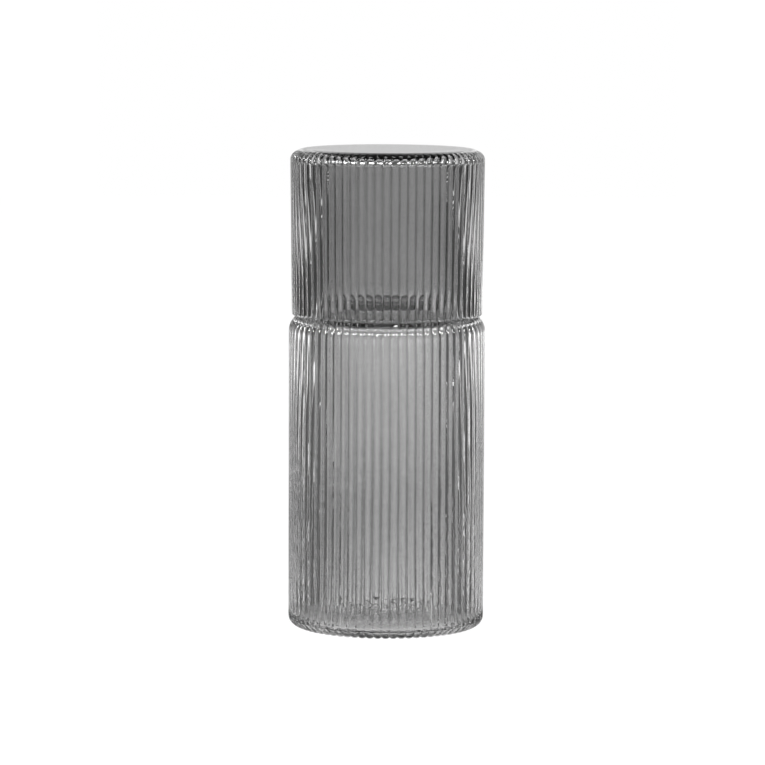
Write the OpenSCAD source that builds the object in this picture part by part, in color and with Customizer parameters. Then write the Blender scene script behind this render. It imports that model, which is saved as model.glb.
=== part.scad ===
/* [Carafe] */
// Diameter of the carafe over the crests of its ribs
body_d = 90; // [84:1:100]
// Height of the carafe where its shoulder meets the neck
shoulder_h = 145.4; // [110:0.2:190]
// Radius that rounds the wall into the foot
foot_round = 4.6; // [4:0.2:7]
// Radius that rounds the wall into the shoulder
shoulder_round = 8.2; // [7:0.2:10]
// Fall of the shoulder from the neck outwards, in degrees
shoulder_fall = 4; // [2:0.5:6]
// Glass from rib crest to cavity, just below the shoulder
wall_top = 3.6; // [3:0.1:6]
// Glass from rib crest to cavity, just above the floor
wall_low = 7; // [4:0.1:9]
// Glass between the cavity and the foot
floor_t = 3.4; // [3:0.1:12]
// Radius that rounds the cavity into its floor
floor_round = 3; // [2:0.5:12]
// Depth of the hollow under the foot
punt_depth = 1; // [0.6:0.1:1.6]
// Width of the flat ring that the carafe stands on
stand_w = 6; // [3:0.5:9]

/* [Neck] */
// Outer diameter of the neck
neck_d = 45; // [36:0.5:50]
// Height of the neck above the shoulder
neck_h = 6.8; // [4:0.2:9]
// Glass of the neck between its bore and its outside
neck_wall = 3.2; // [2.6:0.1:4]
// Radius that blends the neck into the shoulder
neck_blend = 3; // [2:0.2:4]

/* [Ribs] */
// Number of ribs round the carafe and round the tumbler
rib_count = 72; // [48:4:80]
// Height of a rib between crest and valley on the straight wall
rib_h = 1; // [0.5:0.05:1.2]
// Length over which the ribs die out under the foot
rib_fade = 3.6; // [2:0.2:6]

/* [Tumbler] */
// How much narrower than the carafe the tumbler's base is, on the diameter
tumbler_inset = 1; // [0.6:0.2:6]
// Narrowing of the tumbler from its base to its rim, on the diameter
tumbler_taper = 1.6; // [0.4:0.2:3]
// Height of the tumbler
tumbler_h = 76.4; // [60:0.2:95]
// Width of the rounding between the tumbler's wall and its base
base_round_w = 7.2; // [4:0.2:9]
// Height of that rounding, less than its width because the base is pressed flatter
base_round_h = 5; // [4:0.2:7]
// Glass of the tumbler's base
base_t = 4.2; // [3:0.1:10]
// Glass at the tumbler's rim, from rib crest to inside
rim_wall = 2.8; // [2.6:0.1:3.6]
// Glass from rib crest to inside, next to the tumbler's base
base_wall = 5; // [3:0.1:7]
// Radius that rounds the tumbler's inside into its floor
inside_round = 3; // [2:0.5:10]

/* [Hidden] */
smoke = [0.42, 0.43, 0.45, 0.6];

// Clearance between the tumbler's rim and the shoulder that carries it
seat_gap = 0.3;
// Flat left on the lowest line of the rim and on top of the neck
lip_flat = 0.4;
// Flat ring on the shoulder between the end of the ribs and the neck's blend
neck_margin = 2.4;
// How far the neck's blend dips below the shoulder, so that the two cross
blend_dip = 0.15;
// Overrun of every cut and of every joined root
over = 1;
// Part of a half circle that a rib's section spans
bead_share = 0.9;
// What is left of a rib's depth where the shoulder's rounding ends
shoulder_rib_share = 0.9;
// Faces across one rib, even, so that crest and valley are both edges
rib_faces = 6;
// Steps of the ribbed roundings, of the ribbed rim and of the smooth roundings
rib_steps = 3;
rim_steps = 2;
arc_steps = 8;
$fn = 144;

body_r = body_d / 2;
tumbler_r = (body_d - tumbler_inset) / 2;
neck_r = neck_d / 2;
mouth_r = neck_r - neck_wall;
carafe_h = shoulder_h + neck_h;

// Centre of the foot's rounding and of the shoulder's
foot_c = [body_r - foot_round, foot_round];
plain_r = neck_r + neck_blend + neck_margin;
shoulder_end = 90 - shoulder_fall;
shoulder_c_r = body_r - shoulder_round;
shoulder_run = shoulder_c_r + shoulder_round * cos(shoulder_end) - plain_r;
shoulder_drop = shoulder_round * sin(shoulder_end) + shoulder_run * tan(shoulder_fall);
shoulder_c = [shoulder_c_r, shoulder_h - shoulder_drop];

// The rim's section is a half circle that rests on the shoulder's rounding
rim_r = tumbler_r - tumbler_taper / 2;
lip_round = (rim_wall - lip_flat) / 2;
lip_r = rim_r - rim_wall / 2;
lip_in = lip_r - lip_flat / 2;
lip_reach = shoulder_round + seat_gap + lip_round;
lip_c_z = shoulder_c[1] + sqrt(pow(lip_reach, 2) - pow(lip_in - shoulder_c[0], 2));
rim_z = lip_c_z - lip_round;
top_z = rim_z + tumbler_h;

// Points of an arc in the plane of a profile, from one angle to another
function arc(c, r, from, to, steps) =
    [for (i = [0:steps]) let (a = from + (to - from) * i / steps) c + r * [cos(a), sin(a)]];

// A rib's section as a share of its depth: 0 on the crest, 1 in the valley
function rib_dip(step) =
    let (out = bead_share * (1 - abs(2 * step / rib_faces - 1)))
    (1 - sqrt(1 - pow(out, 2))) / (1 - sqrt(1 - pow(bead_share, 2)));

// A rib gets shallower as its neighbours close in on it
function rib_depth(r, fade) = rib_h * r / body_r * fade;

// One ring of a ribbed outline: a profile point, the way into the glass, the depth
function ring(p, inward, fade) = [p, inward, rib_depth(p[0], fade)];

// Rings along a rounding of a width and height, where the ribs fade to a share of their depth
function ring_arc(c, size, from, to, left_share = 1) = [
    for (i = [0:rib_steps])
        let (way = i / rib_steps)
        let (a = from + (to - from) * way)
        let (out = [cos(a), sin(a)])
        let (fade = left_share + (1 - left_share) * pow(cos(90 * way), 2))
        ring(c + [size[0] * out[0], size[1] * out[1]], -out, fade)
];

// A solid with ribs, spun from rings that run from its lowest to its highest
module ribbed(rings) {
    columns = rib_count * rib_faces;
    last = len(rings) - 1;
    points = [
        for (one = rings)
            for (j = [0:columns - 1])
                let (a = 360 * j / columns - 90)
                let (dip = one[2] * rib_dip(j % rib_faces))
                let (p = one[0] + dip * one[1])
                [p[0] * cos(a), p[0] * sin(a), p[1]]
    ];
    walls = [
        for (i = [0:last - 1])
            for (j = [0:columns - 1])
                let (k = (j + 1) % columns)
                let (a = i * columns + j, b = i * columns + k)
                let (c = a + columns, d = b + columns)
                each (2 * (j % rib_faces) < rib_faces ? [[a, c, d], [a, d, b]] : [[a, c, b], [b, c, d]])
    ];
    bottom = [for (j = [0:columns - 1]) j];
    top = [for (j = [columns - 1:-1:0]) last * columns + j];
    polyhedron(points, concat([bottom], walls, [top]), convexity = 4);
}

// The ribs start under the foot, climb the wall and run in over the shoulder
module carafe_outside() {
    rings = concat(
        [ring([foot_c[0] - rib_fade, 0], [0, 1], 0)],
        ring_arc(foot_c, [foot_round, foot_round], -90, 0),
        ring_arc(shoulder_c, [shoulder_round, shoulder_round], 0, shoulder_end, shoulder_rib_share),
        [ring([plain_r, shoulder_h], [0, -1], 0)]
    );
    ribbed(rings);
}

// Short smooth collar, blended into the shoulder and rounded at the mouth
module neck() {
    blend_c = [neck_r + neck_blend, shoulder_h + neck_blend - blend_dip];
    round_r = (neck_wall - lip_flat) / 2;
    blend_end = asin((neck_blend - blend_dip) / neck_blend) + 180;
    root_r = blend_c[0] - neck_blend * cos(blend_end - 180);
    outline = concat(
        [[0, shoulder_h - over], [root_r, shoulder_h - over]],
        arc(blend_c, neck_blend, blend_end, 180, arc_steps),
        arc([neck_r - round_r, carafe_h - round_r], round_r, 0, 90, arc_steps),
        [[0, carafe_h]]
    );
    rotate_extrude() polygon(outline);
}

// The space for the water: wide and slightly conical, with a round floor
module cavity() {
    top_r = body_r - wall_top;
    low_r = body_r - wall_low;
    ceiling_z = shoulder_h - wall_top;
    lean = atan((top_r - low_r) / (shoulder_c[1] - floor_t - floor_round));
    low_c = [low_r - floor_round, floor_t + floor_round];
    roof_round = shoulder_round - wall_top;
    mouth_round = neck_wall;
    throat_c = [mouth_r + mouth_round, ceiling_z + mouth_round];
    round_r = (neck_wall - lip_flat) / 2;
    outline = concat(
        [[0, floor_t]],
        arc(low_c, floor_round, -90, -lean, arc_steps),
        arc(shoulder_c, roof_round, -lean, shoulder_end, arc_steps),
        arc(throat_c, mouth_round, 270 - shoulder_fall, 180, arc_steps),
        arc([mouth_r + round_r, carafe_h - round_r], round_r, 180, 90, arc_steps),
        [[mouth_r + round_r, carafe_h + over], [0, carafe_h + over]]
    );
    rotate_extrude() polygon(outline);
}

// Shallow dome under the foot, inside the ring that the carafe stands on
module punt() {
    punt_r = foot_c[0] - rib_fade - stand_w;
    dome_r = (pow(punt_r, 2) + pow(punt_depth, 2)) / (2 * punt_depth);
    half = asin(punt_r / dome_r);
    outline = concat(
        arc([0, punt_depth - dome_r], dome_r, 90, 90 - half, arc_steps),
        [[punt_r, -over], [0, -over]]
    );
    rotate_extrude() polygon(outline);
}

module carafe() {
    color(smoke)
        difference() {
            union() {
                carafe_outside();
                neck();
            }
            cavity();
            punt();
        }
}

// The tumbler stands upside down over the neck: rim low, base high
module tumbler_outside() {
    base_c = [tumbler_r - base_round_w, top_z - base_round_h];
    lip_c = [lip_r + lip_flat / 2, lip_c_z];
    rings = concat(
        [ring([lip_c[0], rim_z], [0, 1], 0)],
        [
            for (i = [1:rim_steps])
                let (way = i / rim_steps)
                let (a = 90 * (way - 1))
                ring(lip_c + lip_round * [cos(a), sin(a)], [-1, 0], way)
        ],
        ring_arc(base_c, [base_round_w, base_round_h], 0, 90, 0)
    );
    ribbed(rings);
}

// The inside of the tumbler, smooth, with a rounded floor and a rounded lip
module tumbler_inside() {
    lip_c = [lip_in, lip_c_z];
    deep_r = tumbler_r - base_wall;
    deep_z = top_z - base_t;
    outline = concat(
        [[0, rim_z - over], [lip_in, rim_z - over]],
        arc(lip_c, lip_round, 270, 180, arc_steps),
        arc([deep_r - inside_round, deep_z - inside_round], inside_round, 0, 90, arc_steps),
        [[0, deep_z]]
    );
    rotate_extrude() polygon(outline);
}

module tumbler() {
    color(smoke)
        difference() {
            tumbler_outside();
            tumbler_inside();
        }
}

carafe();
tumbler();
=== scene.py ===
import math

import bmesh
import bpy
from mathutils import Matrix, Vector, noise


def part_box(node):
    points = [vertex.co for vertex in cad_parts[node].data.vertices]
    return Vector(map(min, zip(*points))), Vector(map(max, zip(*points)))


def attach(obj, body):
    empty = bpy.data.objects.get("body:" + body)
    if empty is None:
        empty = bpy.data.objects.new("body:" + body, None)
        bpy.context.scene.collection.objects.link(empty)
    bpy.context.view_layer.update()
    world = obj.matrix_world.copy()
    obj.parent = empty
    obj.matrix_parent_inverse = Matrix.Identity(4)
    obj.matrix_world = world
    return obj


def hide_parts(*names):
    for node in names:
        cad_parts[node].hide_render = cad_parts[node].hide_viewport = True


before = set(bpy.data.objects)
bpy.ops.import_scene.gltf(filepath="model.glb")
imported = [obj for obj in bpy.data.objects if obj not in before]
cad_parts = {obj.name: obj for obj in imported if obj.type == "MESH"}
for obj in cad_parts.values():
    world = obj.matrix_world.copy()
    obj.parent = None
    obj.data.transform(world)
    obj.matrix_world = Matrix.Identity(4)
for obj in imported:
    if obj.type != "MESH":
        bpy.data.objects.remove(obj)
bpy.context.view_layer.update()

mm = 0.001
scene = bpy.context.scene

# The frame gives the heights and diameters, in metres
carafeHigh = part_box("carafe")[1]
tumblerLow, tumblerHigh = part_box("tumbler")

# Ribs, the same round both glasses
ribs = {
    "count": 72,
    "height": 1 * mm,  # from crest to valley, on the widest wall
    "faces": 12,  # across one rib
    "bead": 0.97,  # part of a half circle that a rib's section spans
}

# Unevenness of the inner walls: waves per metre, and the share of the fine ones
wobble = {"roundGrain": 130, "tallGrain": 14, "grainShare": 0.5, "swell": 45}

# Closer than this, two angles (radians) or two points (metres) are the same
sameAngle = 1e-4
sameSpot = 1e-6


# Points of an arc, each with the way to its centre and how far along it lies, from 0 to 1
def arcPoints(centre, radius, start, end, steps):
    out = []
    for i in range(steps + 1):
        angle = math.radians(start + (end - start) * i / steps)
        way = Vector((math.cos(angle), math.sin(angle)))
        out.append((Vector(centre) + radius * way, -way, i / steps))
    return out


# Depth of a rib's section at an angle round the axis: 0 on the crest, 1 in the valley
def ribDip(angle):
    turn = (angle * ribs["count"] / (2 * math.pi)) % 1
    out = ribs["bead"] * (1 - abs(2 * turn - 1))
    return (1 - math.sqrt(1 - out**2)) / (1 - math.sqrt(1 - ribs["bead"] ** 2))


# From 1 to 0 along a way from 0 to 1, gently at both ends
def fadeOut(way):
    return math.cos(math.radians(90 * way)) ** 2


# Half section of a glass, from the axis round the wall and back: points with a rib depth and a wave
class Profile:

    def __init__(self):
        self.points = []

    def add(self, point, inward=(0, 0), fade=0.0, wave=0.0):
        # a rib gets shallower as its neighbours close in on it
        depth = ribs["height"] * point[0] / carafeHigh[0] * fade
        self.points.append((Vector(point), Vector(inward) * depth, wave))

    def arc(self, centre, radius, start, end, steps, fade=None, wave=0.0):
        for point, inward, way in arcPoints(centre, radius, start, end, steps):
            self.add(point, inward, fade(way) if fade else 0.0, wave)

    # the points between two ends, without the ends
    def line(self, start, end, steps, inward=(0, 0), fade=None, wave=0.0):
        for i in range(1, steps):
            way = i / steps
            self.add(Vector(start).lerp(Vector(end), way), inward, fade(way) if fade else 0.0, wave)


def awayFromAxis(vert):
    return Vector((vert.co.x, vert.co.y, 0)).normalized()


def angleRound(vert):
    return math.atan2(vert.co.x, -vert.co.y)


# Spins a profile through one rib, presses the rib in, copies it round and makes the inner wall uneven
def spinProfile(name, profile):
    bm = bmesh.new()
    dipR = bm.verts.layers.float.new("dipR")
    dipZ = bm.verts.layers.float.new("dipZ")
    wave = bm.verts.layers.float.new("wave")
    chain = []
    for point, dip, reach in profile.points:
        vert = bm.verts.new((0, -point[0], point[1]))
        vert[dipR], vert[dipZ], vert[wave] = dip[0], dip[1], reach
        chain.append(vert)
    edges = [bm.edges.new(pair) for pair in zip(chain, chain[1:])]
    pitch = 2 * math.pi / ribs["count"]
    bmesh.ops.spin(bm, geom=chain + edges, axis=(0, 0, 1), angle=pitch, steps=ribs["faces"])
    for vert in bm.verts:
        if vert[dipR] or vert[dipZ]:
            dip = ribDip(angleRound(vert))
            vert.co += awayFromAxis(vert) * vert[dipR] * dip + Vector((0, 0, vert[dipZ] * dip))
    # Ribs meet in a sharp valley
    for edge in bm.edges:
        valley = all(abs(angleRound(vert) - pitch / 2) < sameAngle for vert in edge.verts)
        edge.smooth = not (valley and any(vert[dipR] or vert[dipZ] for vert in edge.verts))
    sector = bm.verts[:] + bm.edges[:] + bm.faces[:]
    for i in range(1, ribs["count"]):
        copied = bmesh.ops.duplicate(bm, geom=sector)["geom"]
        verts = [item for item in copied if isinstance(item, bmesh.types.BMVert)]
        bmesh.ops.rotate(bm, verts=verts, matrix=Matrix.Rotation(i * pitch, 3, "Z"))
    bmesh.ops.remove_doubles(bm, verts=bm.verts, dist=sameSpot)
    around, along = wobble["roundGrain"], wobble["tallGrain"]
    for vert in bm.verts:
        if vert[wave]:
            grain = noise.noise(Vector((vert.co.x * around, vert.co.y * around, vert.co.z * along)))
            swell = noise.noise(vert.co * wobble["swell"])
            vert.co += awayFromAxis(vert) * vert[wave] * (wobble["grainShare"] * grain + swell)
    bmesh.ops.recalc_face_normals(bm, faces=bm.faces)
    for face in bm.faces:
        face.smooth = True
    mesh = bpy.data.meshes.new(name)
    bm.to_mesh(mesh)
    bm.free()
    piece = bpy.data.objects.new(name, mesh)
    scene.collection.objects.link(piece)
    return piece


# A math node, each of its values set or linked
def addMath(nodes, links, operation, *values):
    node = nodes.new("ShaderNodeMath")
    node.operation = operation
    for socket, value in zip(node.inputs, values):
        if isinstance(value, (int, float)):
            socket.default_value = value
        else:
            links.new(value, socket)
    return node.outputs["Value"]


# A value taken from one range to another, straight or with soft ends
def mapRange(nodes, links, value, start, end, smooth=False):
    node = nodes.new("ShaderNodeMapRange")
    if smooth:
        node.interpolation_type = "SMOOTHSTEP"
    node.inputs["From Min"].default_value, node.inputs["From Max"].default_value = start
    node.inputs["To Min"].default_value, node.inputs["To Max"].default_value = end
    links.new(value, node.inputs["Value"])
    return node.outputs["Result"]


# Smoke-grey glass that takes some light at each wall, a little uneven in tint and surface, with
# painted shade darkening it near a rim
def smokeGlass(name, glass):
    material = bpy.data.materials.new(name)
    material.use_nodes = True
    nodes, links = material.node_tree.nodes, material.node_tree.links
    shader = nodes["Principled BSDF"]
    shader.inputs["Transmission Weight"].default_value = 1.0
    shader.inputs["IOR"].default_value = glass["ior"]
    shader.inputs["Roughness"].default_value = 0.0
    coordinate = nodes.new("ShaderNodeTexCoord")
    split = nodes.new("ShaderNodeSeparateXYZ")
    links.new(coordinate.outputs["Object"], split.inputs["Vector"])
    height = split.outputs["Z"]

    def patches(size, detail):
        texture = nodes.new("ShaderNodeTexNoise")
        texture.inputs["Scale"].default_value = 1 / size
        texture.inputs["Detail"].default_value = detail
        links.new(coordinate.outputs["Object"], texture.inputs["Vector"])
        return texture.outputs["Fac"]

    palest, darkest = glass["tint"] + glass["tintSpread"], glass["tint"] - glass["tintSpread"]
    tintPatches = patches(glass["tintPatch"], glass["tintDetail"])
    tint = mapRange(nodes, links, tintPatches, (0, 1), (darkest, palest))
    # painted shade: the tint darkens in a band of height near a rim
    rimShade = mapRange(nodes, links, height, glass["rimShadeFrom"], (1, glass["rimShadeTint"]))
    links.new(addMath(nodes, links, "MULTIPLY", tint, rimShade), shader.inputs["Base Color"])
    bump = nodes.new("ShaderNodeBump")
    bump.inputs["Distance"].default_value = glass["dimpleDepth"]
    calm = mapRange(nodes, links, height, glass["calmFrom"], (1, glass["calmShare"]), smooth=True)
    links.new(calm, bump.inputs["Strength"])
    links.new(patches(glass["dimple"], glass["dimpleDetail"]), bump.inputs["Height"])
    links.new(bump.outputs["Normal"], shader.inputs["Normal"])
    return material


# Carafe

carafe = {
    "footRound": 4.6 * mm,
    "shoulderHeight": 145.4 * mm,
    "shoulderRound": 8.2 * mm,
    "shoulderFall": 4,  # degrees, from the neck outwards
    "wallTop": 3.6 * mm,
    "wallLow": 7 * mm,
    "roofRound": 2 * mm,  # inside, under the shoulder
    "floor": 3.4 * mm,
    "floorRound": 3 * mm,
    "punt": 1 * mm,  # depth of the hollow under the foot
    "standWidth": 6 * mm,  # flat ring round the hollow
    "ribFade": 3.6 * mm,
    "neckRadius": 22.5 * mm,
    "neckWall": 3.2 * mm,
    "neckBlend": 3 * mm,
    "plainRadius": 27.9 * mm,  # where the ribs end on the shoulder
    "wave": 0.3 * mm,  # how far the inner wall strays
    # how many faces make up each stretch of the profile
    "steps": {
        "punt": 6, "stand": 3, "ribStart": 4, "foot": 9, "outside": 8, "shoulder": 12, "ribEnd": 6,
        "blend": 5, "lip": 8, "throat": 5, "roof": 6, "inside": 18, "floorRound": 8, "floor": 4,
    },
    "ior": 1.5,
    "tint": 0.735,
    "tintSpread": 0.03,
    "tintPatch": 40 * mm,
    "tintDetail": 1,
    # painted shade: the glass is darker in a band at the top of the neck's lip
    "rimShadeFrom": (150 * mm, 151.4 * mm),
    "rimShadeTint": 0.3,
    # shallow dimples, which calm down from the foot up
    "dimple": 5 * mm,
    "dimpleDepth": 0.35 * mm,
    "dimpleDetail": 2,
    "calmFrom": (30 * mm, 110 * mm),
    "calmShare": 0.15,
}


def carafeProfile():
    c = carafe
    steps = c["steps"]
    radius, top = carafeHigh[0], carafeHigh[2]
    shape = Profile()
    foot = Vector((radius - c["footRound"], c["footRound"]))
    ribStart = foot[0] - c["ribFade"]
    puntRadius = ribStart - c["standWidth"]
    dome = (puntRadius**2 + c["punt"] ** 2) / (2 * c["punt"])
    half = math.degrees(math.asin(puntRadius / dome))
    shape.arc((0, c["punt"] - dome), dome, 90, 90 - half, steps["punt"])
    shape.line((puntRadius, 0), (ribStart, 0), steps["stand"])
    shape.line((ribStart, 0), (foot[0], 0), steps["ribStart"], (0, 1), lambda way: way)
    shape.arc(foot, c["footRound"], -90, 0, steps["foot"], lambda way: 1)
    fall = math.radians(c["shoulderFall"])
    end = 90 - c["shoulderFall"]
    centreR = radius - c["shoulderRound"]
    run = centreR + c["shoulderRound"] * math.sin(fall) - c["plainRadius"]
    drop = c["shoulderRound"] * math.cos(fall) + run * math.tan(fall)
    shoulder = Vector((centreR, c["shoulderHeight"] - drop))
    shape.line((radius, foot[1]), (radius, shoulder[1]), steps["outside"], (-1, 0), lambda way: 1)
    shape.arc(shoulder, c["shoulderRound"], 0, end, steps["shoulder"], lambda way: 1)
    ringEnd = shoulder + c["shoulderRound"] * Vector((math.sin(fall), math.cos(fall)))
    plain = Vector((c["plainRadius"], c["shoulderHeight"]))
    shape.line(ringEnd, plain, steps["ribEnd"], (0, -1), fadeOut)
    neck = c["neckRadius"]
    lip = c["neckWall"] / 2
    shape.add(plain)
    blend = Vector((neck + c["neckBlend"], c["shoulderHeight"] + c["neckBlend"]))
    shape.arc(blend, c["neckBlend"], 270, 180, steps["blend"])
    shape.arc((neck - lip, top - lip), lip, 0, 180, steps["lip"])
    mouth = neck - c["neckWall"]
    ceiling = c["shoulderHeight"] - c["wallTop"]
    throat = Vector((mouth + c["neckWall"], ceiling + c["neckWall"]))
    shape.arc(throat, c["neckWall"], 180, 270 - c["shoulderFall"], steps["throat"])
    topR, lowR = radius - c["wallTop"], radius - c["wallLow"]
    lean = math.degrees(math.atan((topR - lowR) / (shoulder[1] - c["floor"] - c["floorRound"])))
    roofRound = c["roofRound"]
    roof = Vector((topR - roofRound, shoulder[1] + c["shoulderRound"] - c["wallTop"] - roofRound))
    low = Vector((lowR - c["floorRound"], c["floor"] + c["floorRound"]))
    shape.arc(roof, roofRound, end, -lean, steps["roof"], wave=c["wave"] / 2)
    toWall = Vector((math.cos(math.radians(lean)), -math.sin(math.radians(lean))))
    wallStart, wallEnd = roof + roofRound * toWall, low + c["floorRound"] * toWall
    shape.line(wallStart, wallEnd, steps["inside"], wave=c["wave"])
    shape.arc(low, c["floorRound"], -lean, -90, steps["floorRound"], wave=c["wave"] / 2)
    shape.line((low[0], c["floor"]), (0, c["floor"]), steps["floor"])
    shape.add((0, c["floor"]))
    return shape


carafeGlass = spinProfile("carafeGlass", carafeProfile())
carafeGlass.data.materials.append(smokeGlass("carafeSmoke", carafe))
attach(carafeGlass, "carafe")
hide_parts("carafe")
print("carafe", len(carafeGlass.data.polygons))


# Tumbler, upside down over the neck

tumbler = {
    "inset": 1 * mm,  # how much narrower than the carafe, on the diameter
    "taper": 1.6 * mm,  # from the base to the rim, on the diameter
    "baseRoundWidth": 7.2 * mm,
    "baseRoundHeight": 5 * mm,
    "base": 4.2 * mm,
    "rimWall": 2.8 * mm,
    "baseWall": 5 * mm,
    "insideRound": 3 * mm,
    "ribEnd": (0.1875, 0.8125),  # where on the base's rounding the ribs start and stop to fade
    "wave": 0.25 * mm,  # how far the inner wall strays
    # how many faces make up each stretch of the profile
    "steps": {
        "floor": 4, "insideRound": 8, "inside": 18, "lip": 6, "outside": 6, "baseRound": 12, "base": 8,
    },
    "ior": 1.5,
    "tint": 0.565,
    "tintSpread": 0.03,
    "tintPatch": 30 * mm,
    "tintDetail": 1,
    # painted shade: a little darker at the rim, where it sits on the carafe's shoulder
    "rimShadeFrom": (144.6 * mm, 143.4 * mm),
    "rimShadeTint": 0.9,
    # faint dimples, which calm down towards the base
    "dimple": 6 * mm,
    "dimpleDepth": 0.03 * mm,
    "dimpleDetail": 2,
    "calmFrom": (150 * mm, 210 * mm),
    "calmShare": 0.6,
}


def tumblerProfile():
    t = tumbler
    steps = t["steps"]
    radius = carafeHigh[0] - t["inset"] / 2
    low, top = tumblerLow[2], tumblerHigh[2]
    rim = radius - t["taper"] / 2
    lipRound = t["rimWall"] / 2
    lip = Vector((rim - lipRound, low + lipRound))
    deepR = radius - t["baseWall"]
    inner = Vector((deepR - t["insideRound"], top - t["base"] - t["insideRound"]))
    baseWidth, baseHeight = t["baseRoundWidth"], t["baseRoundHeight"]
    baseCentre = Vector((radius - baseWidth, top - baseHeight))
    shape = Profile()
    shape.add((0, top - t["base"]))
    shape.line((0, top - t["base"]), (inner[0], top - t["base"]), steps["floor"])
    shape.arc(inner, t["insideRound"], 90, 0, steps["insideRound"], wave=t["wave"] / 2)
    shape.line((deepR, inner[1]), (rim - t["rimWall"], lip[1]), steps["inside"], wave=t["wave"])
    shape.arc(lip, lipRound, 180, 270, steps["lip"])
    shape.arc(lip, lipRound, 270, 360, steps["lip"], lambda way: way)
    shape.line((rim, lip[1]), (radius, baseCentre[1]), steps["outside"], (-1, 0), lambda way: 1)
    fadeStart, fadeEnd = t["ribEnd"]
    for point, inward, way in arcPoints((0, 0), 1, 0, 90, steps["baseRound"]):
        corner = baseCentre + Vector((point[0] * baseWidth, point[1] * baseHeight))
        faded = min(1, max(0, (way - fadeStart) / (fadeEnd - fadeStart)))
        shape.add(corner, inward, fadeOut(faded))
    shape.line((baseCentre[0], top), (0, top), steps["base"])
    shape.add((0, top))
    return shape


tumblerGlass = spinProfile("tumblerGlass", tumblerProfile())
tumblerGlass.data.materials.append(smokeGlass("tumblerSmoke", tumbler))
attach(tumblerGlass, "tumbler")
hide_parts("tumbler")
print("tumbler", len(tumblerGlass.data.polygons))


# Studio: bright and dark walls round the table, seen in and through the glass

studio = {
    # degrees from straight behind the carafe, to the right, and how bright the wall is there
    "walls": [
        (-180, 0.7), (-115, 0.7), (-105, 0.05), (-54, 0.05), (-49, 1.4), (-36, 1.4),
        (-31, 0.02), (-15, 0.02), (-8, 1.75), (-2, 0.85), (2, 0.85), (8, 1.75),
        (15, 0.1), (18, 0.55), (31, 0.55), (36, 1.45), (49, 1.45), (54, 0.05),
        (105, 0.05), (115, 0.7),
    ],
    # sine of the height above the horizon, and how much of a wall's light comes from there
    "heights": [(0.2, 0.85), (0.5, 0.8), (0.75, 0.2)],
    # sine of the height, and the even light of the ceiling
    "ceiling": [(0.3, 0.0), (0.5, 0.5), (0.7, 0.5), (0.85, 0.0)],
    "floorWidth": 3.2,
    "floorFront": -1.6,
    "floorBack": 3.0,
    "floorCells": 16,
    "floorGrey": 0.05,
    "floorRoughness": 0.9,
    # how bright the floor is for the camera, and in and through the glass
    "floorSeen": 0.985,
    "floorThrough": 0.84,
    # light under the glass, seen through it: full inside the first radius, gone at the second
    "underGlass": (0.045, 0.09),
    "underGlassLight": 0.45,
    # shades and light spots on the floor: x, y, reach, share of the light in the middle
    "spots": [
        (-0.22, 0.26, 0.33, 0.42),
        (0.25, 0.32, 0.3, 0.7),
        (0, 0.35, 0.3, 0.95),
        (0.7, 1.45, 0.6, 1.8),
        (-1.1, 1.2, 1.0, 3.0),
        (1.1, 1.2, 1.0, 3.3),
    ],
}


# A ring of walls, as bright as the studio says at each angle round the carafe
def makeWalls():
    group = bpy.data.node_groups.new("studioWalls", "ShaderNodeTree")
    group.interface.new_socket("Way", in_out="INPUT", socket_type="NodeSocketVector")
    group.interface.new_socket("Light", in_out="OUTPUT", socket_type="NodeSocketFloat")
    nodes, links = group.nodes, group.links
    start, end = nodes.new("NodeGroupInput"), nodes.new("NodeGroupOutput")
    around = nodes.new("ShaderNodeTexGradient")
    around.gradient_type = "RADIAL"
    ramp = nodes.new("ShaderNodeValToRGB")
    stops = sorted(((0.75 - turn / 360) % 1, value) for turn, value in studio["walls"])
    # both ends of the ramp are as bright as the walls are at its seam
    gap = stops[0][0] + 1 - stops[-1][0]
    seam = stops[-1][1] + (stops[0][1] - stops[-1][1]) * (1 - stops[-1][0]) / gap
    elements = ramp.color_ramp.elements
    elements[0].color = (seam, seam, seam, 1)
    elements[1].color = (seam, seam, seam, 1)
    for place, value in stops:
        elements.new(place).color = (value, value, value, 1)
    links.new(start.outputs["Way"], around.inputs["Vector"])
    links.new(around.outputs["Fac"], ramp.inputs["Fac"])
    links.new(ramp.outputs["Color"], end.inputs["Light"])
    return group


studioWalls = makeWalls()


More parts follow.
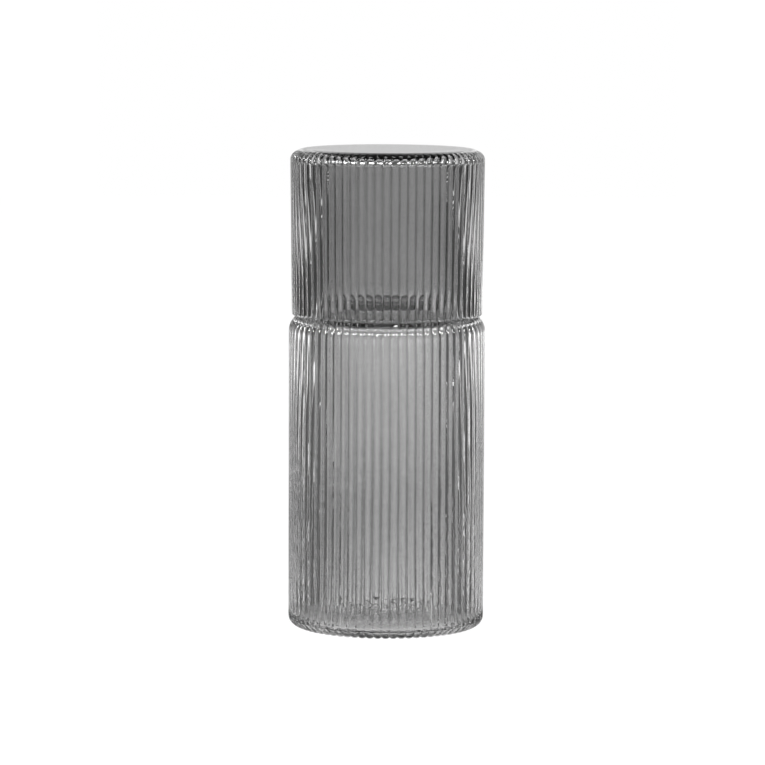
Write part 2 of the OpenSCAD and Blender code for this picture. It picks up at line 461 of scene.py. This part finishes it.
# A matt grey surface, lifted to white for the camera so that only its shadows show
def paleFloor():
    material = bpy.data.materials.new("paleFloor")
    material.use_nodes = True
    nodes, links = material.node_tree.nodes, material.node_tree.links
    shader = nodes["Principled BSDF"]
    grey = studio["floorGrey"]
    shader.inputs["Base Color"].default_value = (grey, grey, grey, 1)
    shader.inputs["Roughness"].default_value = studio["floorRoughness"]
    shader.inputs["Specular IOR Level"].default_value = 0.0
    shader.inputs["Emission Color"].default_value = (1, 1, 1, 1)
    coordinate = nodes.new("ShaderNodeTexCoord")

    def distanceTo(x, y):
        away = nodes.new("ShaderNodeVectorMath")
        away.operation = "DISTANCE"
        links.new(coordinate.outputs["Object"], away.inputs[0])
        away.inputs[1].default_value = (x, y, 0)
        return away.outputs["Value"]

    walls = nodes.new("ShaderNodeGroup")
    walls.node_tree = studioWalls
    links.new(coordinate.outputs["Object"], walls.inputs["Way"])
    path = nodes.new("ShaderNodeLightPath")
    seen = addMath(nodes, links, "MULTIPLY", path.outputs["Is Camera Ray"], studio["floorSeen"])
    refracted, mirrored = path.outputs["Is Transmission Ray"], path.outputs["Is Glossy Ray"]
    through = addMath(nodes, links, "MAXIMUM", refracted, mirrored)
    through = addMath(nodes, links, "MULTIPLY", through, studio["floorThrough"])
    for x, y, reach, share in studio["spots"]:
        spot = mapRange(nodes, links, distanceTo(x, y), (0, reach), (share, 1), smooth=True)
        through = addMath(nodes, links, "MULTIPLY", through, spot)
    through = addMath(nodes, links, "MULTIPLY", through, walls.outputs["Light"])
    fade = (studio["underGlassLight"], 0)
    under = mapRange(nodes, links, distanceTo(0, 0), studio["underGlass"], fade, smooth=True)
    under = addMath(nodes, links, "MULTIPLY", refracted, under)
    through = addMath(nodes, links, "MAXIMUM", through, under)
    links.new(addMath(nodes, links, "MAXIMUM", through, seen), shader.inputs["Emission Strength"])
    return material


def makeFloor():
    bm = bmesh.new()
    cells = studio["floorCells"]
    bmesh.ops.create_grid(bm, x_segments=cells, y_segments=cells, size=0.5)
    depth = studio["floorBack"] - studio["floorFront"]
    bmesh.ops.scale(bm, verts=bm.verts, vec=(studio["floorWidth"], depth, 1))
    bmesh.ops.translate(bm, verts=bm.verts, vec=(0, studio["floorFront"] + depth / 2, 0))
    mesh = bpy.data.meshes.new("floor")
    bm.to_mesh(mesh)
    bm.free()
    piece = bpy.data.objects.new("floor", mesh)
    scene.collection.objects.link(piece)
    return piece


floor = makeFloor()
floor.data.materials.append(paleFloor())
print("floor", len(floor.data.polygons))


# The same walls and a ceiling all round, and plain white for the camera
def studioWorld():
    world = bpy.data.worlds.new("studio")
    world.use_nodes = True
    nodes, links = world.node_tree.nodes, world.node_tree.links
    coordinate = nodes.new("ShaderNodeTexCoord")
    walls = nodes.new("ShaderNodeGroup")
    walls.node_tree = studioWalls
    links.new(coordinate.outputs["Generated"], walls.inputs["Way"])
    split = nodes.new("ShaderNodeSeparateXYZ")
    links.new(coordinate.outputs["Generated"], split.inputs["Vector"])

    def rampByHeight(stops):
        ramp = nodes.new("ShaderNodeValToRGB")
        elements = ramp.color_ramp.elements
        for place, value in stops:
            elements.new(place).color = (value, value, value, 1)
        # without the two that a new ramp starts with
        elements.remove(elements[0])
        elements.remove(elements[-1])
        links.new(split.outputs["Z"], ramp.inputs["Fac"])
        return ramp.outputs["Color"]

    light = addMath(nodes, links, "MULTIPLY", walls.outputs["Light"], rampByHeight(studio["heights"]))
    light = addMath(nodes, links, "MAXIMUM", light, rampByHeight(studio["ceiling"]))
    path = nodes.new("ShaderNodeLightPath")
    seen = addMath(nodes, links, "MAXIMUM", light, path.outputs["Is Camera Ray"])
    links.new(seen, nodes["Background"].inputs["Strength"])
    nodes["Background"].inputs["Color"].default_value = (1, 1, 1, 1)
    return world


scene.world = studioWorld()
print("studio walls", len(studio["walls"]))


# Soft lamps: place, height of the aim on the axis, width and height of the face, power in watts
lamps = {
    "overhead": {"place": (-0.4, 0.15, 1.5), "aim": 0.1, "width": 0.4, "height": 0.6, "power": 3},
    "frontLeft": {"place": (-0.65, -1.15, 0.7), "aim": 0.14, "width": 0.7, "height": 0.3, "power": 19},
    "frontRight": {"place": (0.65, -1.15, 0.7), "aim": 0.14, "width": 0.4, "height": 0.3, "power": 12},
    "highLeft": {"place": (-1.3, 0.1, 1.0), "aim": 0.14, "width": 0.3, "height": 0.2, "power": 4},
    "highRight": {"place": (1.0, -0.5, 1.4), "aim": 0.14, "width": 0.5, "height": 0.4, "power": 5},
}


# Puts a lamp or the camera at a place and turns it to a height on the axis
def aimAt(piece, place, height, roll=0.0):
    way = Vector((0, 0, height)) - Vector(place)
    turn = way.to_track_quat("-Z", "Y").to_matrix().to_4x4()
    piece.matrix_world = Matrix.Translation(place) @ turn @ Matrix.Rotation(math.radians(roll), 4, "Z")


for name, lamp in lamps.items():
    light = bpy.data.lights.new(name, "AREA")
    light.shape = "RECTANGLE"
    light.size, light.size_y, light.energy = lamp["width"], lamp["height"], lamp["power"]
    holder = bpy.data.objects.new(name, light)
    scene.collection.objects.link(holder)
    aimAt(holder, lamp["place"], lamp["aim"])
print("lights", len(lamps))


# Camera, fitted to the outline in the photograph: metres, degrees and pixels of a square picture
view = {
    "distance": 1.824,
    "elevation": 6.44,
    "aim": 0.1125,
    "roll": 0.26,
    "side": 765,
    "focalPixels": 3966,
    "centreX": 386.7,
    "centreY": 382.05,
    "sensor": 36,  # mm
}
camera = bpy.data.objects.new("camera", bpy.data.cameras.new("camera"))
scene.collection.objects.link(camera)
scene.camera = camera
camera.data.sensor_width = view["sensor"]
camera.data.lens = view["focalPixels"] / view["side"] * view["sensor"]
camera.data.shift_x = (view["side"] / 2 - view["centreX"]) / view["side"]
camera.data.shift_y = (view["centreY"] - view["side"] / 2) / view["side"]
lift = math.radians(view["elevation"])
place = Vector((0, -math.cos(lift), math.sin(lift))) * view["distance"] + Vector((0, 0, view["aim"]))
aimAt(camera, place, view["aim"], view["roll"])

scene.view_settings.view_transform = "Standard"
print("camera", [round(value, 3) for value in camera.location])
